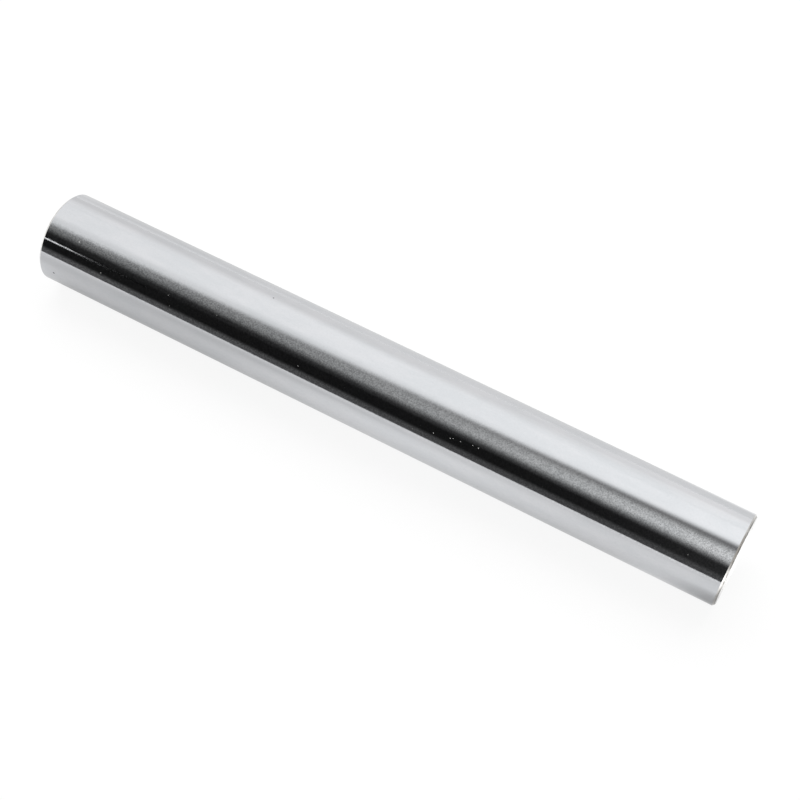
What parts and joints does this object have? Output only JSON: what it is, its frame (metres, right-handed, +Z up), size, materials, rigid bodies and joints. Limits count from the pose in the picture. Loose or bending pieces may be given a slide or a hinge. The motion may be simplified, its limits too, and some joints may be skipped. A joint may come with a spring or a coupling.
{
  "type": "linear shaft",
  "caption": "Plain round linear shaft, hard chrome plated, ground and polished, with a small chamfer at each end.",
  "frame": {"origin": "middle of the shaft's length, on its axis", "axes": "+X along the shaft's axis, +Z up as the shaft lies on a level floor, so the floor is 12.5 mm below the origin"},
  "size_m": [0.2, 0.025, 0.025],
  "materials": {
    "hard_chrome": "hard chrome over ground bearing steel, finely polished, with bare turned end faces"
  },
  "bodies": {
    "root": {"shaft": "hard_chrome"}
  },
  "joints": []
}
